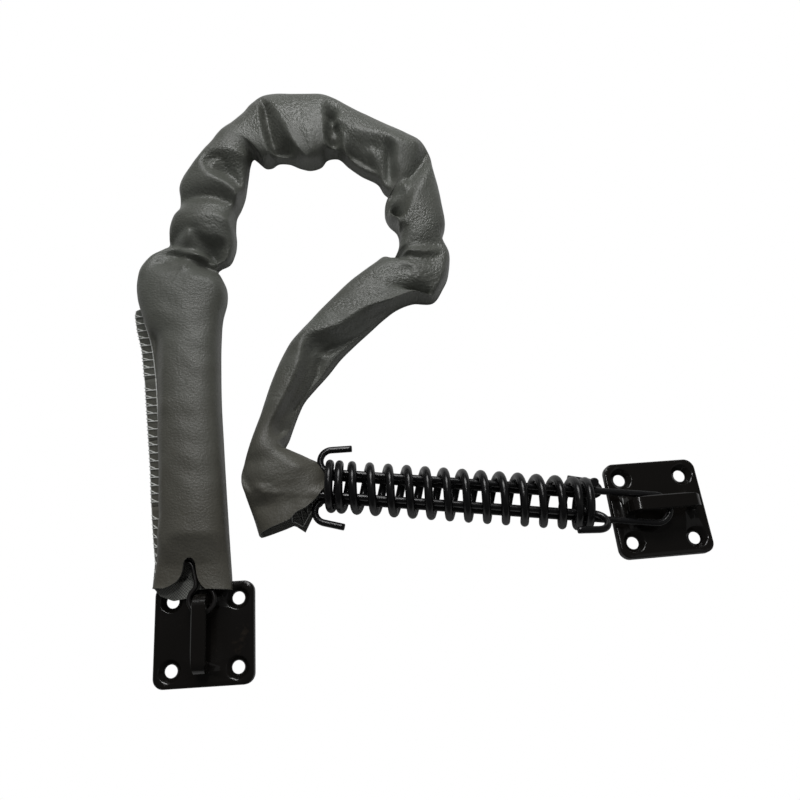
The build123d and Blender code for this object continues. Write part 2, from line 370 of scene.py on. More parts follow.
# Brackets: the CAD castings, with the strap's edges rounded as a casting's are

bracketShape = dict(plate=2.8, clear=0.3, round=0.32, steps=3, softest=25.0, sharpest=100.0, shadedBelow=38.0,
                    flat=0.5, weld=0.001)


def makeBracket(name, normal):
    # the casting with its flat triangles joined; every edge whose height above the back is over plate + clear, and
    # whose faces meet between softest and sharpest degrees, turns into an arc of the given radius and steps
    s = bracketShape
    source = frame["nodes"][name].data
    spots = np.zeros(len(source.vertices) * 3, np.float32)
    source.vertices.foreach_get("co", spots)
    above = (spots.reshape(-1, 3) @ np.array(normal)).min() + (s["plate"] + s["clear"]) * mm

    def onStrap(edge):
        if len(edge.link_faces) != 2 or min(v.co.dot(normal) for v in edge.verts) <= above:
            return False
        return s["softest"] < math.degrees(edge.calc_face_angle()) < s["sharpest"]

    shape = bmesh.new()
    shape.from_mesh(source)
    bmesh.ops.remove_doubles(shape, verts=shape.verts, dist=s["weld"] * mm)
    bmesh.ops.dissolve_limit(shape, angle_limit=math.radians(s["flat"]), verts=shape.verts, edges=shape.edges)
    bmesh.ops.bevel(shape, geom=[e for e in shape.edges if onStrap(e)], offset=s["round"] * mm, segments=s["steps"],
                    profile=0.5, affect="EDGES", clamp_overlap=True)
    bmesh.ops.triangulate(shape, faces=shape.faces)
    mesh = bpy.data.meshes.new(name + "_casting")
    shape.to_mesh(mesh)
    shape.free()
    mesh.materials.append(bracketBlack)
    mesh.polygons.foreach_set("use_smooth", np.ones(len(mesh.polygons), bool))
    mesh.set_sharp_from_angle(angle=math.radians(s["shadedBelow"]))
    casting = bpy.data.objects.new(name + "_casting", mesh)
    bpy.context.scene.collection.objects.link(casting)
    casting.modifiers.new("even", "WEIGHTED_NORMAL").keep_sharp = True
    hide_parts(name)
    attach(casting, name)


makeBracket("door_bracket", Vector(upAxis))
makeBracket("jamb_bracket", Vector(jambHinge["axis"]))
print("brackets made")


# Spring

springShape = dict(outer=20.8, wire=3.3, turns=16.1, startAngle=-20.0, closedPitch=3.75, openPitch=7.25,
                   closedTurns=1.1, rampTurns=1.5, fromCrown=27.5, sides=16, stepsPerTurn=56, travel=45.0)
springStart = crownPivot + springAxis * springShape["fromCrown"] * mm


def springAdvance(t):
    # closed turns, then a ramp, then open turns, and the same from the far end
    s = springShape

    def gained(x):
        ramp = np.clip(x - s["closedTurns"], 0, s["rampTurns"])
        rising = ramp * s["closedPitch"] + ramp ** 2 / (2 * s["rampTurns"]) * (s["openPitch"] - s["closedPitch"])
        free = np.maximum(x - s["closedTurns"] - s["rampTurns"], 0) * s["openPitch"]
        return np.minimum(x, s["closedTurns"]) * s["closedPitch"] + rising + free

    half = s["turns"] / 2
    return np.where(t <= half, gained(np.minimum(t, half)), 2 * gained(half) - gained(s["turns"] - np.maximum(t, half)))


def makeSpring():
    # helix: centre + axis * advance(t) + radius * (cos, sin) of the angle, which grows evenly with t
    s = springShape
    t = np.linspace(0, s["turns"], int(s["turns"] * s["stepsPerTurn"]) + 1)
    angle = np.radians(s["startAngle"]) + 2 * np.pi * t
    outward = np.cos(angle)[:, None] * springSide + np.sin(angle)[:, None] * upAxis
    radius = (s["outer"] - s["wire"]) / 2
    path = springStart + springAxis * springAdvance(t)[:, None] * mm + outward * radius * mm
    spring = tubePiece("compression_spring_wire", path, outward, s["wire"] / 2 * mm, s["sides"], springBlack)
    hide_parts("compression_spring")
    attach(spring, "chain_drawbar")
    length = float(springAdvance(np.array([s["turns"]]))[0])
    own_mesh(spring)


makeSpring()
print("spring made")


# Drawbars

drawbarShape = dict(rod=2.65, legOffset=5.5, chainLength=130.6, bracketLength=132.6, hookRadius=4.5, flare=8.0,
                    tail=8.0, seat=0.7, roll=40.0, sides=18, tailGap=0.4, legGap=1.0,
                    tailSteps=8, hookSteps=20, legSteps=24, crownSteps=14)


def drawbarPath(length):
    # hairpin: tail, hook, leg, crown, leg, hook, tail, from runs and arcs in one plane
    d = drawbarShape
    offset, turn = d["legOffset"], 180 - d["flare"]
    hook = arcPoints((length, offset + d["hookRadius"]), d["hookRadius"], -90 + turn, -90, d["hookSteps"])
    backwards = np.array([math.cos(math.radians(turn)), math.sin(math.radians(turn))])
    tail = hook[0] + np.linspace(d["tail"], d["tailGap"], d["tailSteps"])[:, None] * backwards
    legRun = np.linspace(length - d["legGap"], offset + d["legGap"], d["legSteps"])
    leg = np.stack([legRun, np.full(d["legSteps"], offset)], -1)
    crown = arcPoints((offset, 0), offset, 90, 180, d["crownSteps"])
    upper = np.concatenate([tail, hook, leg, crown])
    lower = (upper * [1, -1])[::-1][1:]
    return np.concatenate([upper, lower])


def makeDrawbar(node, origin, along, side, length):
    # origin + x * along + y * side, for each point (x, y) of the path
    path = drawbarPath(length) * mm
    points = origin + path[:, :1] * along + path[:, 1:] * side
    normal = np.cross(along, side)
    bar = tubePiece(node + "_rod", points, normal, drawbarShape["rod"] / 2 * mm, drawbarShape["sides"], rodBlack)
    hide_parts(node)
    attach(bar, node)
    return points


roll = math.radians(drawbarShape["roll"])
rolledSide = springSide * math.cos(roll) - upAxis * math.sin(roll)
chainRod = makeDrawbar("chain_drawbar", crownPivot, springAxis, rolledSide, drawbarShape["chainLength"])
farCrown = springStart + springAxis * (drawbarShape["seat"] + drawbarShape["bracketLength"]) * mm
makeDrawbar("bracket_drawbar", farCrown, -springAxis, -springSide, drawbarShape["bracketLength"])
print("drawbars made")


# Chain links

linkShape = dict(wire=1.8, bore=8.0, spacing=19.5, gap=0.1, play=0.1, neck=3.28, sides=12,
                 strandGap=0.3, strandSteps=3, bendSteps=8, eyeSteps=22)


def linkPath():
    # quarter of the link: strand, small arc that turns outwards, then the eye; mirrored twice
    s = linkShape
    radius, strand = (s["bore"] + s["wire"]) / 2, (s["wire"] + s["gap"]) / 2
    reach = math.sqrt((radius + s["neck"]) ** 2 - (strand + s["neck"]) ** 2)
    lean = math.degrees(math.atan2(strand + s["neck"], reach))
    half = s["spacing"] / 2
    strandRun = np.linspace(s["strandGap"], half - reach - s["strandGap"], s["strandSteps"])
    straight = np.stack([strandRun, np.full(s["strandSteps"], strand)], -1)
    bend = arcPoints((half - reach, strand + s["neck"]), s["neck"], -90, -lean, s["bendSteps"])
    eye = arcPoints((half, 0), radius, 180 - lean, 0, s["eyeSteps"])
    upper = np.concatenate([straight, bend, eye[1:]])
    right = np.concatenate([upper, (upper * [1, -1])[::-1][1:]])
    return np.concatenate([right, (right * [-1, 1])[::-1]])


def makeLinks():
    # flat and standing links take turns; each lies on the line from its own pivot to the next
    s = linkShape
    seat = s["bore"] / 2 - s["wire"] / 2 - s["play"]
    eye = (s["bore"] + s["wire"]) / 2
    path = linkPath() * mm
    wires = []
    for index in range(linkCount):
        standing = index % 2 == 1
        along = unit(pivots[index + 1] - pivots[index])
        side = unit(np.cross(upAxis, along))
        up = np.cross(along, side)
        across, face = (up, side) if standing else (side, up)
        toCentre = s["spacing"] / 2 + (eye if standing else (0 if index == 0 else seat))
        centre = pivots[index] + along * toCentre * mm
        points = centre + path[:, :1] * along + path[:, 1:] * across
        number = numbered(index)
        radius = s["wire"] / 2 * mm
        link = tubePiece("chain_link_wire_" + number, points, face, radius, s["sides"], linkBlack, closed=True)
        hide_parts("chain_link_" + number)
        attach(link, "link_" + number)
        wires.append((points / mm, s["wire"] / 2))
    return wires


def crownWire(rod, steps=900, reach=40.0):
    # the chain drawbar's rod in even steps, as far as the sleeve covers it
    at, known = np.linspace(0, len(rod) - 1, steps), np.arange(len(rod))
    wire = np.array([np.interp(at, known, rod[:, k]) for k in range(3)]).T
    wire = wire[np.linalg.norm(wire - crownPivot, axis=1) < reach * mm]
    return wire / mm, drawbarShape["rod"] / 2


coveredWires = makeLinks() + [crownWire(chainRod)]
print("links made")


# Sleeve

# Each station is a line across the sleeve, from its outer edge to its inner one: x, y, x, y in mm.
sleeveShape = dict(
    stations=[
        (-19.2, 17.7, 11.1, 15.6), (-17.7, 29.7, 10.0, 30.2), (-17.4, 46.0, 9.0, 44.3),
        (-17.7, 62.1, 7.9, 60.5), (-18.7, 76.7, 7.0, 75.1), (-19.8, 91.7, 6.1, 90.1),
        (-21.2, 106.3, 5.7, 104.6), (-23.8, 121.0, 5.7, 119.1), (-27.3, 131.4, 6.3, 129.2),
        (-29.6, 139.5, 8.1, 137.6), (-30.1, 147.6, 7.8, 143.8), (-28.2, 155.2, 5.7, 148.9),
        (-24.6, 159.6, 4.0, 152.1), (-19.5, 162.6, 5.5, 154.0), (-17.2, 164.8, 9.2, 155.9),
        (-17.1, 168.2, 11.4, 160.8), (-16.9, 172.8, 12.1, 166.2), (-15.3, 178.0, 11.7, 172.8),
        (-12.8, 181.9, 12.1, 178.8), (-12.6, 187.6, 14.1, 183.3), (-13.1, 193.1, 15.9, 188.9),
        (-11.3, 198.2, 16.8, 195.1), (-8.4, 202.5, 17.5, 200.9), (-4.5, 208.7, 18.2, 206.2),
        (0.6, 215.2, 19.6, 210.0), (5.6, 222.3, 21.8, 209.7), (10.8, 226.7, 25.0, 205.1),
        (15.4, 231.1, 28.1, 204.7), (19.1, 235.9, 31.5, 206.7), (23.3, 239.8, 36.1, 206.3),
        (30.8, 241.3, 41.2, 203.7), (38.8, 240.8, 46.2, 202.3), (46.3, 240.3, 51.2, 203.9),
        (52.7, 239.6, 53.7, 207.2), (58.7, 236.7, 58.5, 207.8), (65.5, 231.7, 63.5, 202.8),
        (74.5, 225.7, 69.2, 197.7), (83.9, 219.9, 76.4, 192.8), (91.9, 214.9, 78.9, 187.8),
        (97.8, 210.6, 81.5, 184.1), (100.9, 203.9, 79.4, 180.1), (102.0, 195.6, 78.7, 175.3),
        (103.6, 186.5, 80.2, 170.8), (104.5, 177.6, 83.5, 166.7), (105.2, 168.3, 84.3, 161.5),
        (103.6, 159.9, 82.8, 154.9), (105.9, 152.8, 80.0, 152.9), (105.0, 145.0, 77.1, 153.3),
        (101.7, 137.5, 72.8, 150.2), (97.3, 131.8, 67.1, 146.1), (89.2, 132.1, 60.3, 140.7),
        (81.8, 129.7, 54.1, 134.6), (75.6, 125.4, 48.4, 128.9), (69.3, 119.9, 43.3, 123.4),
        (62.7, 114.1, 39.1, 118.8), (56.5, 108.2, 35.6, 114.6), (50.8, 101.3, 32.5, 109.3),
        (45.4, 95.5, 29.8, 103.4), (40.7, 90.1, 27.3, 96.9), (37.9, 84.6, 24.7, 89.1),
        (35.8, 79.2, 22.8, 82.9), (34.0, 74.2, 20.9, 77.5), (32.3, 69.3, 18.5, 70.2),
        (35.9, 67.6, 16.6, 63.7), (39.5, 65.9, 15.7, 58.1), (43.1, 64.0, 17.1, 51.5),
        (46.7, 62.0, 18.8, 45.4), (49.0, 58.3, 20.6, 39.7), (49.0, 52.2, 22.0, 34.9),
    ],
    rowStep=0.6, columns=128, wall=0.9, wallFade=3, edgeWall=8, perimeter=62.0, edgeHeight=4.2, underside=0.4,
    flatTop=0.52, flatUnder=0.45, topFade=2.2, mouthTop=[(0, 9.6), (9, 10.2), (20, 15.2)],
    endTop=[(0, 18.2), (26, 18.6), (42, 15.2)], overPlate=3.3, plateEdge=21.8, plateFade=2.2, plateHalf=21,
)

# The slit that lets the first link out, and how far each layer reaches past the straight end of the sleeve.
slit = dict(column=31, length=11.5, cover=1.5, apex=0.15, neck=0.12, flare=5, left=(0.10, 0.40), right=(0.08, 0.20))
hem = dict(mouthUnder=[(-1, 0), (-0.85, 2.6), (-0.5, 4.4), (-0.1, 3.2), (0.1, 0), (1, 0)],
           endTop=[(0, 0), (0.185, 1.4), (0.416, 3.3), (0.538, 2.5), (0.653, 3.2), (0.819, 2.5), (1, 0.6)],
           endUnder=[(0, 0), (0.3, 2.5), (0.416, 3.3), (0.475, 8.1), (0.745, 3.1), (0.83, 3.3), (1, 0.6)],
           mouthReach=12.0, endReach=14.0)

# Fold lines on the upper side, as points x, y and height in mm: ridges and valleys that the vinyl is drawn between.
foldLines = [
    [(-14.2, 33.2, 12.2), (-14.3, 43.5, 13), (-14.3, 70.1, 14.2), (-14.5, 90.8, 14.5), (-14.9, 113.9, 14.2),
     (-14.6, 121.5, 13.8)],
    [(-17.6, 44.1, 6), (-18.5, 64.2, 6.2), (-19.8, 89.6, 6.4), (-21.0, 111.7, 6.6), (-20.9, 121.0, 8)],
    [(-16.0, 164.9, 6), (-13.7, 165.8, 5), (-8.2, 165.4, 5.5), (-1.4, 164.0, 6), (6.3, 162.9, 7)],
    [(-11.6, 160.1, 10.5), (-7.9, 157.8, 13.3), (-3.1, 156.5, 14.5), (0.7, 156.2, 11)],
    [(-14.1, 159.8, 6), (-9.8, 157.4, 5.5), (-4.4, 154.8, 6), (0.9, 152.5, 6), (4.0, 150.9, 6)],
    [(-20.1, 155.2, 9), (-12.4, 149.5, 13.3), (-3.4, 144.8, 15.5), (3.4, 143.2, 13.3)],
    [(0.6, 160.9, 3.2), (1.9, 158.0, 3), (2.9, 155.8, 3.2)],
    [(6.0, 151.5, 11), (9.5, 153.8, 15), (12.3, 158.0, 13.3)],
    [(-6.1, 171.9, 15.7), (0.6, 174.9, 16.7), (6.2, 173.6, 16.5), (10.2, 171.3, 15)],
    [(-7.7, 168.0, 12.5), (-2.7, 165.8, 12.5), (3.1, 164.1, 13), (8.0, 164.0, 13)],
    [(-11.3, 185.5, 8.5), (-3.4, 186.4, 11), (3.4, 185.7, 11.5), (10.0, 182.5, 10.5)],
    [(-2.1, 205.4, 15), (-2.1, 202.4, 15.5), (-0.8, 198.3, 16), (3.4, 193.2, 16.7), (9.2, 190.0, 16.7),
     (13.0, 186.6, 16),
     (15.0, 182.1, 15), (15.6, 179.4, 12.8)],
    [(3.5, 203.3, 9.5), (6.5, 200.3, 9), (11.1, 197.0, 8.5), (13.8, 192.2, 8)],
    [(0.2, 208.4, 15.2), (6.7, 208.2, 16.2), (13.3, 206.9, 15.8), (18.0, 204.8, 13.5)],
    [(24.6, 232.9, 15), (25.2, 225.2, 16.3), (26.5, 214.3, 16.3), (28.0, 207.2, 15), (28.5, 202.6, 11)],
    [(25.5, 233.9, 9.5), (26.0, 228.5, 8.5), (27.2, 219.4, 8), (28.8, 212.3, 6.5)],
    [(26.3, 233.8, 14.5), (30.2, 231.6, 15.5), (33.0, 226.4, 16.3), (36.1, 218.8, 16.7), (38.2, 212.4, 16.5),
     (41.6, 206.4, 15.7),
     (46.6, 201.3, 12.8)],
    [(29.4, 209.5, 5), (33.1, 209.3, 5), (37.0, 209.0, 6.5)],
    [(44.3, 222.4, 16.3), (46.8, 212.7, 16.7), (48.2, 204.9, 15)],
    [(53.1, 233.2, 14.5), (54.0, 219.6, 16.3), (53.9, 210.1, 16), (53.4, 203.3, 12.3)],
    [(56.7, 224.7, 4.5), (57.4, 221.2, 3.2), (57.2, 215.6, 3.2), (56.2, 211.1, 3.5)],
    [(61.3, 217.8, 14.5), (62.4, 210.6, 14.7), (62.5, 204.5, 12.8)],
    [(56.4, 221.0, 15), (59.7, 220.3, 16.3), (62.8, 219.0, 16)],
    [(62.8, 219.0, 16), (65.4, 215.0, 16.5), (69.9, 213.4, 16.8), (77.5, 211.3, 16.8), (85.8, 207.0, 16.8),
     (95.2, 205.8, 15.5)],
    [(82.2, 207.9, 14.5), (82.4, 203.6, 10), (82.0, 196.7, 8.5), (82.1, 190.9, 7)],
    [(86.0, 203.0, 15.7), (85.6, 196.0, 14.5), (84.3, 190.0, 10.5)],
    [(99.8, 204.3, 9), (96.5, 197.4, 10), (92.5, 191.0, 10.5), (87.2, 186.0, 10), (83.0, 184.0, 7)],
    [(100.8, 194.7, 12.8), (96.9, 185.8, 15.5), (92.4, 178.6, 16), (88.9, 171.7, 16), (87.2, 165.2, 15.5)],
    [(81.1, 172.8, 12.8), (83.9, 169.2, 15), (85.0, 165.4, 14.5), (85.4, 164.2, 10)],
    [(82.6, 174.3, 3.5), (83.8, 170.7, 3.5)],
    [(80.0, 178.1, 8.5), (79.3, 174.4, 8), (79.9, 170.0, 7.5), (82.4, 166.7, 7)],
    [(86.2, 156.3, 13.2), (92.1, 154.8, 13.6), (100.9, 155.3, 10.8)],
    [(86.3, 151.9, 16.1), (92.7, 150.8, 16.1), (100.1, 151.7, 14.5)],
    [(85.8, 150.2, 13), (92.6, 149.0, 13.4), (101.4, 149.9, 10.8)],
    [(81.6, 153.9, 4), (83.7, 151.3, 4.5), (85.6, 147.4, 6.5), (87.5, 143.1, 9)],
    [(83.2, 150.9, 12.8), (85.6, 147.3, 15), (87.9, 143.5, 16), (91.8, 137.9, 15.5)],
    [(101.7, 149.0, 13.3), (102.5, 143.7, 13.3), (99.8, 136.7, 13.3), (96.2, 133.4, 12.8)],
    [(91.5, 133.5, 13.3), (94.7, 130.9, 14.5), (96.9, 130.6, 10)],
    [(89.1, 134.2, 6.5), (93.3, 132.7, 5.5)],
    [(41.6, 116.9, 15), (48.8, 116.8, 16.3), (55.1, 117.8, 16.7), (61.5, 121.6, 16.9), (66.6, 125.3, 16.9),
     (72.1, 127.3, 16.9),
     (80.6, 129.1, 16.7), (87.1, 131.5, 16.3), (91.5, 133.2, 14.5)],
    [(46.6, 112.2, 11), (54.2, 114.0, 11), (61.0, 116.7, 11), (67.9, 121.3, 11), (75.7, 126.1, 10.5)],
    [(49.5, 109.4, 7.5), (57.2, 113.0, 7.5), (65.0, 117.0, 7.5), (72.1, 122.6, 7.5), (79.2, 127.3, 7.5)],
    [(41.6, 116.9, 15), (41.2, 108.7, 16.5), (39.5, 102.1, 16.9), (37.3, 96.6, 16.9), (34.4, 90.8, 16.9),
     (31.5, 85.1, 16.9),
     (28.2, 79.6, 16.5), (27.2, 76.4, 16.3), (28.1, 72.6, 16.5), (30.5, 69.6, 16.5), (32.9, 67.5, 14.5)],
    [(44.5, 110.1, 11), (43.5, 103.1, 11), (40.9, 96.7, 11), (37.4, 90.0, 11), (33.7, 83.8, 11),
     (31.5, 78.2, 10.5), (31.0, 74.2, 10)],
    [(47.8, 105.9, 7.5), (46.3, 99.8, 7.5), (42.8, 93.8, 7.5), (39.0, 88.4, 7.5), (35.1, 82.8, 7), (33.4, 77.4, 7)],
    [(65.9, 208.7, 13.3), (72.1, 206.6, 12.8), (77.5, 204.5, 12.3)],
    [(64.6, 204.9, 9), (69.9, 201.2, 8.5), (75.2, 197.2, 8.5)],
    [(74.8, 204.5, 14.7), (76.3, 199.2, 12.3), (76.9, 195.3, 9.5)],
    [(17.7, 63.8, 12.8), (24.6, 62.5, 17), (31.8, 62.6, 18), (39.6, 58.7, 19)],
    [(18.7, 49.1, 9), (23.9, 46.3, 12.8), (31.2, 45.4, 16), (37.4, 44.9, 16.5)],
    [(33.5, 51.9, 17.7), (35.6, 50.8, 16.7), (38.4, 48.9, 17.5)],
]
drape = dict(line=0.45, spread=4.2, rounds=420, soften=4, margin=3, coverRounds=8, coverSlopes=(0.9, 3.0), spare=0.1,
             nearWire=8.0)

# Small wrinkles: middle x and y, reach along and across, the crests' heading in degrees, their spacing and their rise.
wrinkles = [
    dict(at=(54, 114.5), reach=(9, 4), heading=20, spacing=1.9, rise=0.24),
    dict(at=(66, 120.5), reach=(8, 3.5), heading=35, spacing=1.8, rise=0.2),
    dict(at=(41.5, 102), reach=(9, 3.5), heading=60, spacing=1.8, rise=0.2),
    dict(at=(34.5, 87.5), reach=(9, 3.5), heading=-25, spacing=2.1, rise=0.2),
    dict(at=(92.7, 151), reach=(9, 6), heading=-3, spacing=2.2, rise=0.2),
    dict(at=(94, 139), reach=(6, 6), heading=25, spacing=2.4, rise=0.18),
    dict(at=(31.3, 221.5), reach=(4, 8), heading=75, spacing=2.4, rise=0.22),
    dict(at=(-0.5, 171.7), reach=(8, 5), heading=-15, spacing=2.6, rise=0.12),
    dict(at=(70, 203), reach=(8, 5), heading=-60, spacing=2.6, rise=0.16),
    dict(at=(27, 52), reach=(9, 7), heading=10, spacing=3.2, rise=0.12),
]
ripples = dict(seed=7, count=14, slowest=0.3, fastest=0.9, rise=0.03, turn=6.28)

# The hem stitched outside the leg's outer edge: its free edge, x and y in mm, then its section and its threads.
flangeShape = dict(
    edge=[(-20.2, 19.2), (-19.7, 27.9), (-20.7, 36.1), (-22.2, 51.3), (-23.2, 65.7), (-24.9, 83.2), (-26.7, 101.3),
          (-28.7, 117.7), (-31.1, 127.2), (-32.3, 134.3), (-30.9, 145.3)],
    freeHeight=1.5, drop=0.6, thick=1.3, tucked=0.8, narrowest=0.3, step=1.2, section=16, flatness=0.4, uvReach=4,
    shortest=3, pitch=3.4, lastPitch=0.6, needle=0.78, edgeThread=(0.03, 0.3), threadRadius=0.25, sides=5,
    threadUp=(0.13, 0.21, 1.0), bar=[0.6, 0.3, 0.08, -0.03], barEnd=0.2, barLean=0.5, cross=[0.5, 0.3, 0.12, -0.03],
    crossEnd=0.5, crossStart=0.25, crossLean=3.2)
endStitches = dict(corners=(0.4, 0.86), lift=0.3, nearRow=-3, farRow=-12)


def hermite(knots, values, at):
    # cubic through the values, with each slope taken from the two neighbours
    slopes = np.gradient(values, knots, axis=0)
    k = np.clip(np.searchsorted(knots, at, side="right") - 1, 0, len(knots) - 2)
    h = (knots[k + 1] - knots[k])[:, None]
    t = ((at - knots[k]) / (knots[k + 1] - knots[k]))[:, None]
    return ((2 * t ** 3 - 3 * t ** 2 + 1) * values[k] + (t ** 3 - 2 * t ** 2 + t) * h * slopes[k]
            + (3 * t ** 2 - 2 * t ** 3) * values[k + 1] + (t ** 3 - t ** 2) * h * slopes[k + 1])


def nearLine(x, y, line):
    # distance to a line in plan, and the line's height at the nearest place
    line = np.array(line, float)
    a, run = line[:-1], line[1:] - line[:-1]
    dx, dy = x[..., None] - a[:, 0], y[..., None] - a[:, 1]
    t = np.clip((dx * run[:, 0] + dy * run[:, 1]) / (run[:, :2] ** 2).sum(1), 0, 1)
    away = np.hypot(dx - t * run[:, 0], dy - t * run[:, 1])
    near = away.argmin(-1)[..., None]
    height = a[:, 2] + t * run[:, 2]
    return np.take_along_axis(away, near, -1)[..., 0], np.take_along_axis(height, near, -1)[..., 0]


def drapedHeight(x, y, base, inside):
    # the skin between the fold lines: each height is the mean of its neighbours, drawn back to the base
    held, value = np.zeros(x.shape, bool), np.zeros(x.shape)
    for line in foldLines:
        away, height = nearLine(x, y, line)
        on = (away < drape["line"]) & inside
        held |= on
        value = np.where(on, height - base, value)
    across = np.hypot(np.diff(x, axis=1), np.diff(y, axis=1)).mean(1)[:, None]
    weightA, weightR = 1 / across ** 2, 1 / sleeveShape["rowStep"] ** 2
    pull = 1 / drape["spread"] ** 2
    rise = value.copy()
    for step in range(drape["rounds"]):
        padded = np.pad(rise, 1, mode="edge")
        mean = weightA * (padded[1:-1, :-2] + padded[1:-1, 2:]) + weightR * (padded[:-2, 1:-1] + padded[2:, 1:-1])
        rise = np.where(held, value, mean / (2 * weightA + 2 * weightR + pull))
        rise[:, 0] = rise[:, -1] = 0
    return base + softened(rise, drape["soften"])


def wireCover(x, y, slope):
    # height that clears every wire: its top and the wall, less slope * the distance beside it
    top = np.zeros_like(x)
    for points, radius in coveredWires:
        centre = points.mean(0)
        reach = np.linalg.norm(points[:, :2] - centre[:2], axis=1).max() + drape["nearWire"]
        rows = np.nonzero((np.hypot(x - centre[0], y - centre[1]) < reach).any(1))[0]
        if len(rows) == 0:
            continue
        part = slice(rows.min(), rows.max() + 1)
        lifted = radius + drape["spare"] + sleeveShape["wall"]
        for px, py, pz in points[::2]:
            away = np.hypot(x[part] - px, y[part] - py)
            top[part] = np.maximum(top[part], pz + lifted - slope * np.maximum(away - radius, 0))
    return top


def softened(field, rounds):
    # each round moves every inner value halfway to the mean of its four neighbours
    field = field.copy()
    for step in range(rounds):
        padded = np.pad(field, 1, mode="edge")
        mean = (padded[1:-1, :-2] + padded[1:-1, 2:] + padded[:-2, 1:-1] + padded[2:, 1:-1]) / 4
        field[:, 1:-1] = (field * 0.5 + mean * 0.5)[:, 1:-1]
    return field


def wrinkleHeight(x, y):
    # rise * exp(-(u / reach)^2 - (v / reach)^2) * sin(2 pi v / spacing), with v square to the crests and bent by two
    # slow waves, and with crests that come and go
    height = np.zeros_like(x)
    for w in wrinkles:
        turn = math.radians(w["heading"])
        dx, dy = x - w["at"][0], y - w["at"][1]
        u, v = dx * math.cos(turn) + dy * math.sin(turn), dy * math.cos(turn) - dx * math.sin(turn)
        bent = v + 0.5 * np.sin(u * 0.7 + v * 0.31) + 0.25 * np.sin(u * 1.7 - v * 0.9)
        crest = np.sin(bent * 2 * np.pi / w["spacing"]) * (0.6 + 0.4 * np.sin(u * 0.9 + v * 0.6))
        height += w["rise"] * np.exp(-(u / w["reach"][0]) ** 2 - (v / w["reach"][1]) ** 2) * crest
    return height


def rippleHeight(x, y):
    # shallow wandering ripples: the sum of rise * sin(x * wave x + y * wave y + start)
    r = ripples
    rng = np.random.default_rng(r["seed"])
    height = np.zeros_like(x)
    for wave in rng.uniform(-1, 1, (r["count"], 2)):
        wave = wave / np.linalg.norm(wave) * rng.uniform(r["slowest"], r["fastest"])
        height += r["rise"] * np.sin(x * wave[0] + y * wave[1] + rng.uniform(0, r["turn"]))
    return height


def coveredHeight(x, y, base, run):
    # the draped skin, lifted over the wires by a gentle slope that is softened, then held clear by a steep one
    inside = np.zeros(x.shape, bool)
    inside[:, drape["margin"]:-drape["margin"]] = True
    skin = drapedHeight(x, y, base, inside)
    beyondSlit = (run > slit["length"] - slit["cover"])[:, None]
    wide, close = [np.where(beyondSlit, wireCover(x, y, slope), 0) for slope in drape["coverSlopes"]]
    wide[:, :2] = wide[:, -2:] = close[:, :2] = close[:, -2:] = 0
    return np.maximum(softened(np.maximum(skin, wide), drape["coverRounds"]), close)


def partedAtSlit(share, run):
    # the slit's sides part towards the mouth: gap = neck + first * t + second * t to a power, narrowed at its apex
    t = np.clip(1 - run / slit["length"], 0, 1)
    apex = np.sqrt(np.minimum(t / slit["apex"], 1))
    gapLeft, gapRight = [apex * (slit["neck"] + slit[side][0] * t + slit[side][1] * t ** slit["flare"])
                         for side in ("left", "right")]
    after = slit["column"] + 1
    mid = (share[0, slit["column"]] + share[0, after]) / 2
    leftSide, rightSide = slice(0, after), slice(after, sleeveShape["columns"] // 2 + 1)
    share[:, leftSide] = -1 + (share[:, leftSide] + 1) * (1 - gapLeft / (mid + 1))[:, None]
    share[:, rightSide] = 1 - (1 - share[:, rightSide]) * (1 - gapRight / (1 - mid))[:, None]
    return share


def addHems(plan, share, run, under, mouthWay, endWay):
    # the hems reach past the straight ends: a profile across the sleeve * the square of the share of its reach left
    fade = np.clip(1 - run / hem["mouthReach"], 0, 1) ** 2
    plan[:, under] -= (fade[:, None] * np.interp(share[:, under], *zip(*hem["mouthUnder"])))[..., None] * mouthWay
    fade = np.clip(1 - (run[-1] - run) / hem["endReach"], 0, 1) ** 2
    lower, upper = [np.interp((1 - share) / 2, *zip(*hem[side])) for side in ("endUnder", "endTop")]
    plan -= (fade[:, None] * np.where(under[None, :], lower, upper))[..., None] * endWay
    return plan


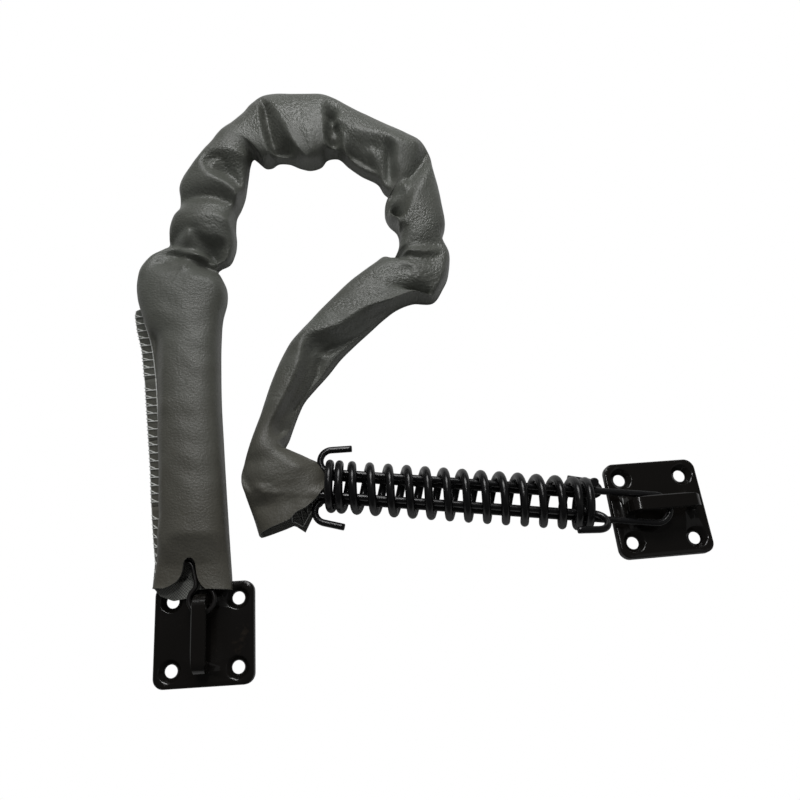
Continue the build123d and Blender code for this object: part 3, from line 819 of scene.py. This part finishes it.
def sleeveSurface():
    # left edge to right edge over the top and back underneath: across = -cos(a), height = |sin(a)| to a power
    s = sleeveShape
    table = np.array(s["stations"])
    middle = (table[:, :2] + table[:, 2:]) / 2
    knots = np.concatenate([[0], np.cumsum(np.linalg.norm(np.diff(middle, axis=0), axis=1))])
    rows = int(round(knots[-1] / s["rowStep"])) + 1
    run = np.linspace(0, knots[-1], rows)
    edges = hermite(knots, table, run)
    a = np.arange(s["columns"]) * 2 * np.pi / s["columns"]
    lift = np.sin(a)
    under = lift < -0.01
    share = partedAtSlit(np.broadcast_to(-np.cos(a), (rows, s["columns"])).copy(), run)
    centre, reach = (edges[:, :2] + edges[:, 2:]) / 2, (edges[:, 2:] - edges[:, :2]) / 2
    mouthWay, endWay = unit(centre[4] - centre[0]), unit(np.array([reach[-1, 1], -reach[-1, 0]]))
    plan = addHems(centre[:, None] + share[..., None] * reach[:, None], share, run, under, mouthWay, endWay)
    x, y = plan[..., 0], plan[..., 1]
    mouthTop, endTop = np.interp(run, *zip(*s["mouthTop"])), np.interp(run[-1] - run, *zip(*s["endTop"]))
    top = np.where(run < run[-1] / 2, mouthTop, endTop)[:, None]
    over = s["edgeHeight"] + (top - s["edgeHeight"]) * np.abs(lift) ** s["flatTop"]
    below = s["edgeHeight"] - (s["edgeHeight"] - s["underside"]) * np.abs(lift) ** s["flatUnder"]
    z = np.where(lift >= 0, over, below)
    upper = slice(0, s["columns"] // 2 + 1)
    onTop = smoothStep(lift * s["topFade"])
    z[:, upper] = coveredHeight(x[:, upper], y[:, upper], z[:, upper].copy(), run)
    z[:, upper] += wrinkleHeight(x[:, upper], y[:, upper]) * onTop[upper]
    z += rippleHeight(x, y) * onTop
    # the lower layer lies on the plate
    onPlate = smoothStep((s["plateEdge"] - y) / s["plateFade"]) * (np.abs(x) < s["plateHalf"])
    z = np.where(under[None, :], np.maximum(z, s["overPlate"] * onPlate), z)
    # the inner skin lies a wall inside, by height in the middle and sideways at the two edges
    skin = s["wall"] * np.clip(np.abs(lift) * s["wallFade"], 0.0, 1)
    inner = np.stack([x, y, z - np.sign(lift) * skin], -1)
    inner[..., :2] += (-np.sign(share) * np.abs(share) ** s["edgeWall"] * s["wall"])[..., None] * unit(reach)[:, None]
    uv = np.stack(np.broadcast_arrays(a[None, :] / (2 * np.pi) * s["perimeter"], run[:, None]), -1)
    return np.stack([x, y, z], -1) * mm, inner * mm, uv, run, edges


def shellPiece(name, points, inner, quads, uv, materials):
    # outer skin, inner skin turned over, and a rim of quads along every open edge
    count = len(points)
    directed = np.concatenate([np.stack([quads[:, k], quads[:, (k + 1) % 4]], -1) for k in range(4)])
    code, back = directed[:, 0] * count + directed[:, 1], directed[:, 1] * count + directed[:, 0]
    openEdge = directed[~np.isin(code, back)]
    rim = np.stack([openEdge[:, 1], openEdge[:, 0], openEdge[:, 0] + count, openEdge[:, 1] + count], -1)
    faces = np.concatenate([quads, quads[:, ::-1] + count, rim])
    slots = np.concatenate([np.zeros(len(quads)), np.ones(len(quads) + len(rim))])
    piece = makePiece(name, np.concatenate([points, inner]), faces, materials, slots, np.concatenate([uv, uv]))
    ends = edgeEnds(piece)
    onRim = np.zeros(2 * count, bool)
    onRim[openEdge.ravel()] = True
    onRim[openEdge.ravel() + count] = True
    markSharp(piece, onRim[ends].all(1) & ((ends < count).all(1) | (ends >= count).all(1)))
    return piece


# the last bend's reach past the crown, and the shortest bend, in mm
bendShape = dict(pastCrown=12.0, shortest=4.0)


def bendRange(first, last, index):
    # the bend lies between the piece's first and last rows
    lastPiece = index == linkCount - 1
    midA = (pivots[index] + pivots[index + 1]) / 2
    if lastPiece:
        midB = crownPivot + springAxis * bendShape["pastCrown"] * mm
    else:
        midB = (pivots[index + 1] + pivots[index + 2]) / 2
    along = (midB - midA) * [1, 1, 0]
    length = np.linalg.norm(along)
    along = along / length
    low = ((first - midA) @ along).max()
    high = length if lastPiece else ((last - midA) @ along).min()
    shortest = bendShape["shortest"] * mm
    if high - low < shortest:
        low, high = (low + high - shortest) / 2, (low + high + shortest) / 2
    return midA + along * low, midA + along * high


def flangePoint(at, share, lift, run, edges):
    # free edge + share * (sleeve's edge - free edge), and lift * half the thickness above the hem's middle
    s = flangeShape
    tubeX, tubeY = np.interp(at, run, edges[:, 0]), np.interp(at, run, edges[:, 1])
    freeX, freeY = zip(*s["edge"])
    free = np.minimum(np.interp(tubeY, freeY, freeX), tubeX - s["narrowest"])
    z = s["freeHeight"] + (sleeveShape["edgeHeight"] - s["drop"] - s["freeHeight"]) * share + lift * s["thick"] / 2
    return np.stack(np.broadcast_arrays(free + (tubeX + s["tucked"] - free) * share, tubeY, z), -1) * mm


def joinedThreads(name, paths):
    # many short threads as one mesh, each a tube closed at both ends
    s = flangeShape
    points, faces, start = [], [], 0
    for path in paths:
        points.append(tubeGrid(path, s["threadUp"], s["threadRadius"] * mm, s["sides"]).reshape(-1, 3))
        faces += [[corner + start for corner in face] for face in tubeFaces(len(path), s["sides"])]
        start += len(path) * s["sides"]
    return makePiece(name, np.concatenate(points), faces, [thread])


def makeFlange(index, low, high, run, edges):
    # a flat double hem: share = (1 - cos(a)) / 2 across it, lift = |sin(a)| to a power with sin(a)'s sign
    s = flangeShape
    at = np.arange(low, high + 0.01, s["step"])
    at[-1] = high
    a = np.arange(s["section"]) * 2 * np.pi / s["section"]
    share, lift = 0.5 - 0.5 * np.cos(a), np.sign(np.sin(a)) * np.abs(np.sin(a)) ** s["flatness"]
    points = flangePoint(at[:, None], share[None, :], lift[None, :], run, edges).reshape(-1, 3)
    uv = np.stack(np.broadcast_arrays(s["uvReach"] * np.cos(a)[None, :], at[:, None]), -1).reshape(-1, 2)
    faces = tubeFaces(len(at), s["section"])
    flange = makePiece("chain_sleeve_flange_" + numbered(index), points, faces, [vinyl], None, uv)
    above = 1.0 + s["threadRadius"] / s["thick"]
    # one thread along the needle's line and one along the free edge, then a bar and a slanting thread per stitch
    lines = [(s["needle"], above), s["edgeThread"]]
    paths = [flangePoint(at, np.full(len(at), place), rise, run, edges) for place, rise in lines]
    bar, barRise = np.array([s["needle"]] + s["bar"]), np.array([above] * len(s["bar"]) + [s["barEnd"]])
    cross, crossRise = np.array(s["cross"]), above * np.array([1, 1, 1, s["crossEnd"]])
    first = math.ceil(low / s["pitch"]) * s["pitch"]
    for spot in np.arange(first, high - s["pitch"] * s["lastPitch"], s["pitch"]):
        paths.append(flangePoint(spot + (1 - bar) * s["barLean"], bar, barRise, run, edges))
        start = spot + s["crossStart"]
        paths.append(flangePoint(start + (cross[0] - cross) * s["crossLean"], cross, crossRise, run, edges))
    return [flange, joinedThreads("chain_sleeve_stitches_" + numbered(index), paths)]


def makeEndStitches(inner):
    # a zigzag and its edge threads on the inside of the lower layer, where it reaches past the upper one
    s, half = endStitches, sleeveShape["columns"] // 2
    corner = (1 + np.cos(np.arange(half, 2 * half) * np.pi / half)) / 2
    columns = half + np.nonzero((corner > s["corners"][0]) & (corner < s["corners"][1]))[0]
    up = upAxis * s["lift"] * mm
    near, far = inner[s["nearRow"], columns] + up, inner[s["farRow"], columns] + up
    zigzag = np.where((np.arange(len(columns)) // 2 % 2 == 0)[:, None], near, far)[::2]
    return joinedThreads("chain_sleeve_end_stitches", [zigzag, far, near])


# the fewest rows of a piece, the rows searched for its end, and the rows that the leg takes up
sleeveCuts = dict(fewest=6, searched=110, legRows=200)


def cutRows(centre):
    # the sleeve is cut at the row nearest to the middle of each link
    cuts = [0]
    for index in range(1, linkCount):
        middle = (pivots[index] + pivots[index + 1]) / 2
        ahead = cuts[-1] + sleeveCuts["fewest"]
        away = np.linalg.norm(centre[ahead:] - middle[:2], axis=1)[:sleeveCuts["searched"]]
        cuts.append(ahead + int(away.argmin()))
    return cuts + [len(centre) - 1]


def makeSleeve():
    # one shell for each bend of the chain, cut from the whole surface, with the hem and threads that lie on it
    points, inner, uv, run, edges = sleeveSurface()
    cols = points.shape[1]
    cuts = cutRows(points[:, :, :2].mean(1))
    slitRows = int(round(slit["length"] / sleeveShape["rowStep"]))
    leg = np.argsort(edges[:sleeveCuts["legRows"], 1])
    hemEnds = [flangeShape["edge"][0][1], flangeShape["edge"][-1][1]]
    flangeRun = np.interp(hemEnds, edges[leg, 1], run[leg])
    made = []
    for index in range(linkCount):
        a, b = cuts[index], cuts[index + 1]
        quads = gridQuads(b - a + 1, cols)
        if index == 0:
            row, column = quads[:, 0] // cols, quads[:, 0] % cols
            quads = quads[~((column == slit["column"]) & (row < slitRows))]
        outside, inside, place = [part[a:b + 1].reshape(-1, part.shape[-1]) for part in (points, inner, uv)]
        piece = shellPiece("chain_sleeve_" + numbered(index), outside, inside, quads, place, [vinyl, backing])
        start, end = bendRange(points[a], points[b], index)
        if index == 0:
            start = (pivots[0] + pivots[1]) / 2
        low, high = max(run[a], flangeRun[0]), min(run[b], flangeRun[1])
        trims = makeFlange(index, low, high, run, edges) if high - low > flangeShape["shortest"] else []
        if index == linkCount - 1:
            trims = [makeEndStitches(inner)]
        for part in [piece] + trims:
            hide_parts("chain_sleeve")
            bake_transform(part)
        made.append((piece, (run[b] - run[a]) * mm, trims))
    return made


for piece, length, trims in makeSleeve():
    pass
print("sleeve made")


# Floor, light, camera

floorShape = dict(size=4.0, height=-0.0004, tone=0.86)
cameraPlace = dict(target=(0.0802, 0.0896, 0.0), eye=(0.0740, -0.0100, 0.3071), lens=34.47, sensor=36.0,
                   clip=(0.01, 20.0))
lamps = dict(
    key=dict(place=(0.04, 0.64, 0.5), target=(0.08, 0.12, 0), size=0.4, power=2.8),
    fill=dict(place=(0.7, -0.1, 0.6), target=(0.08, 0.09, 0), size=0.6, power=0.12),
    glint=dict(place=(0.02, 0.3, 0.7), target=(0.08, 0.12, 0), size=0.08, power=0.6))
surroundings = dict(lit=0.12, mirrored=0.05)


def makeFloor():
    # plain pale floor, which the camera sees as white
    f = Finish("paleFloor")
    tree = f.tree
    tone = floorShape["tone"]
    soft = f.set(**{"Base Color": (tone, tone, tone, 1), "Roughness": 0.9})
    white = f.node("ShaderNodeEmission", {}, {"Color": (1, 1, 1, 1), "Strength": 1.0})
    rays = tree.nodes.new("ShaderNodeLightPath")
    both = tree.nodes.new("ShaderNodeMixShader")
    tree.links.new(rays.outputs["Is Camera Ray"], both.inputs[0])
    tree.links.new(f.shader.outputs[0], both.inputs[1])
    tree.links.new(white.socket, both.inputs[2])
    tree.links.new(both.outputs[0], tree.nodes["Material Output"].inputs[0])
    corners = np.array([(-1, -1), (1, -1), (1, 1), (-1, 1)]) * floorShape["size"]
    corners = np.column_stack([corners, np.full(4, floorShape["height"])])
    makePiece("floor", corners, [(0, 1, 2, 3)], [soft])


def aimed(name, data, place, target):
    # a lamp or camera at its place, turned towards its target
    holder = bpy.data.objects.new(name, data)
    holder.location = place
    aim = np.array(target) - np.array(place)
    holder.rotation_euler = Vector(aim).to_track_quat("-Z", "Y").to_euler()
    bpy.context.scene.collection.objects.link(holder)
    return holder


def makeLamp(name, place, target, size, power):
    lamp = bpy.data.lights.new(name, "AREA")
    lamp.shape, lamp.size, lamp.energy = "DISK", size, power
    aimed(name, lamp, place, target)


def makeWorld():
    # white to the camera, dim as a light, and dimmer in mirrored rays
    world = bpy.data.worlds.new("studio")
    bpy.context.scene.world = world
    world.use_nodes = True
    tree = world.node_tree
    background = tree.nodes["Background"]
    background.inputs[0].default_value = (1, 1, 1, 1)
    rays = tree.nodes.new("ShaderNodeLightPath")
    strength = tree.nodes.new("ShaderNodeMapRange")
    strength.inputs[3].default_value, strength.inputs[4].default_value = surroundings["lit"], surroundings["mirrored"]
    tree.links.new(rays.outputs["Is Glossy Ray"], strength.inputs[0])
    shown = tree.nodes.new("ShaderNodeMath")
    shown.operation = "MAXIMUM"
    tree.links.new(strength.outputs[0], shown.inputs[0])
    tree.links.new(rays.outputs["Is Camera Ray"], shown.inputs[1])
    tree.links.new(shown.outputs[0], background.inputs[1])


def makeCamera():
    camera = bpy.data.cameras.new("camera")
    camera.lens, camera.sensor_width = cameraPlace["lens"], cameraPlace["sensor"]
    camera.clip_start, camera.clip_end = cameraPlace["clip"]
    bpy.context.scene.camera = aimed("camera", camera, cameraPlace["eye"], cameraPlace["target"])


makeFloor()
for name, lamp in lamps.items():
    makeLamp(name, **lamp)
makeWorld()
makeCamera()
bpy.context.scene.view_settings.view_transform = "Standard"
print("studio made")
